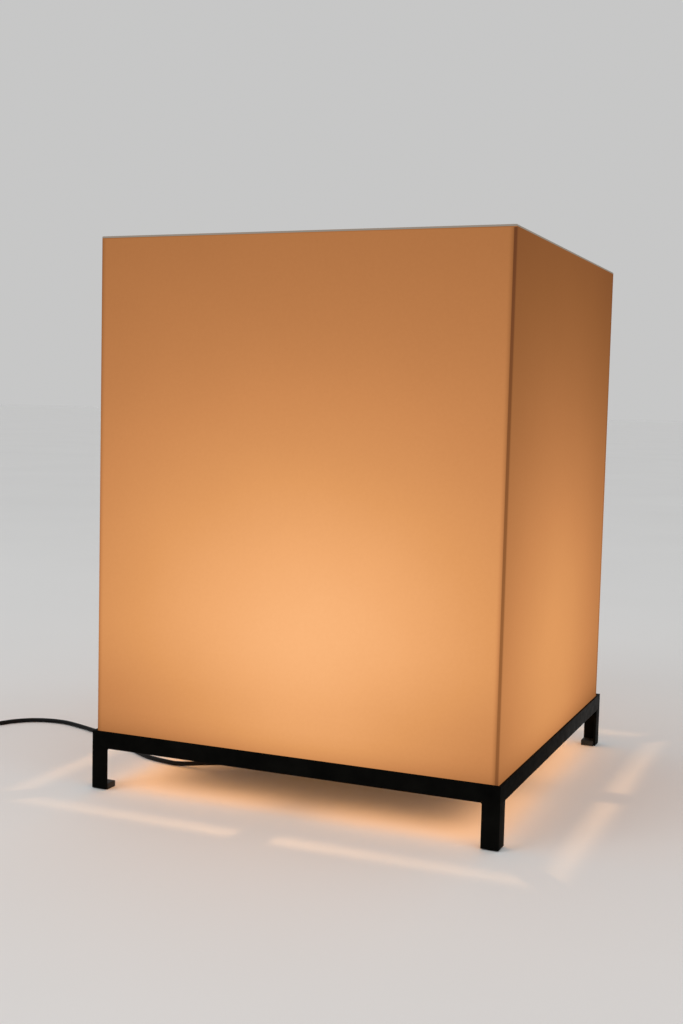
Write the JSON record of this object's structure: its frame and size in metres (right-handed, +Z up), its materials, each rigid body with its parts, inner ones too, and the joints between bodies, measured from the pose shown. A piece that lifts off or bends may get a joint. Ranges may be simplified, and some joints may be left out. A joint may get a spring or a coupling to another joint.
{
  "type": "floor lamp",
  "caption": "Square column floor lamp: a tall closed box of glowing opal sheet in a black steel-angle frame on short legs, with a bulb inside and a cord.",
  "frame": {"origin": "on the floor at the middle of the square frame", "axes": "+Z up, -Y is the front, +X to its right; the cord leaves towards -X"},
  "size_m": [0.9816, 0.5, 0.648],
  "materials": {
    "frame": "satin black paint",
    "feet": "matte",
    "zinc": "zinc plated",
    "opal": "satin opal sheet, lit from inside",
    "holder": "satin",
    "porcelain": "glazed white ceramic",
    "brass": "bright",
    "cord": "satin",
    "wires": "satin",
    "glass": "clear",
    "bulb_metal": "bright nickel",
    "bulb_black": "gloss",
    "solder": "dull solder",
    "filament": "lit",
    "switch": "fine matte",
    "button": "satin",
    "spring": "bright",
    "plug": "satin",
    "pins": "nickel plated"
  },
  "bodies": {
    "base": {"rail_front": "frame", "rail_right": "frame", "rail_back": "frame", "rail_left": "frame", "leg_front_left": "frame", "leg_front_right": "frame", "leg_back_right": "frame", "leg_back_left": "frame", "cross_bar_long": "frame", "cross_bar_front": "frame", "cross_bar_back": "frame", "bottom_plate": "frame", "foot_front_left": "feet", "foot_front_right": "feet", "foot_back_right": "feet", "foot_back_left": "feet", "plate_screws": "zinc", "plate_nuts": "zinc", "holder_screws": "zinc", "switch_screws": "zinc", "holder_cap": "holder", "holder_shell": "holder", "holder_core": "porcelain", "screw_shell": "brass", "centre_contact": "brass", "terminal_screws": "brass", "switch_contacts": "brass", "cord_bush": "cord", "cord_stub": "cord", "cord_to_switch": "cord", "cord_to_coil": "cord", "cord_coil": "cord", "cord_to_plug": "cord", "switch_cord_ends": "cord", "core_wires": "wires", "switch_base": "switch", "switch_cover": "switch", "switch_spring": "spring", "plug_body": "plug", "plug_sleeves": "plug", "plug_pins": "pins"},
    "shade": {"shade_front": "opal", "shade_right": "opal", "shade_back": "opal", "shade_left": "opal", "shade_top": "opal"},
    "bulb_tip": {"bulb_contact": "solder"},
    "bulb": {"bulb_glass": "glass", "bulb_cap": "bulb_metal", "bulb_insulator": "bulb_black", "bulb_stem": "glass", "bulb_filaments": "filament"},
    "button": {"switch_button": "button"}
  },
  "joints": [
    {"name": "shade_lift", "type": "slide", "parent": "base", "child": "shade", "axis": [0, 0, 1], "range_m": [0, 0.15]},
    {"name": "bulb_rise", "type": "slide", "parent": "base", "child": "bulb_tip", "axis": [0, 0, 1], "range_m": [0, 0.0128]},
    {"name": "bulb_turn", "type": "hinge", "parent": "bulb_tip", "child": "bulb", "pos_m": [0, 0, 0.1], "axis": [0, 0, 1], "range_deg": [0, 1260]},
    {"name": "button_press", "type": "slide", "parent": "base", "child": "button", "axis": [0, 0, -1], "range_m": [0, 0.003], "stiffness_N_per_m": 1500, "deforming": ["switch_spring"]}
  ],
  "couplings": [
    {"joint": "bulb_rise", "follows": "bulb_turn", "m_per_rad": 0.00057614}
  ]
}
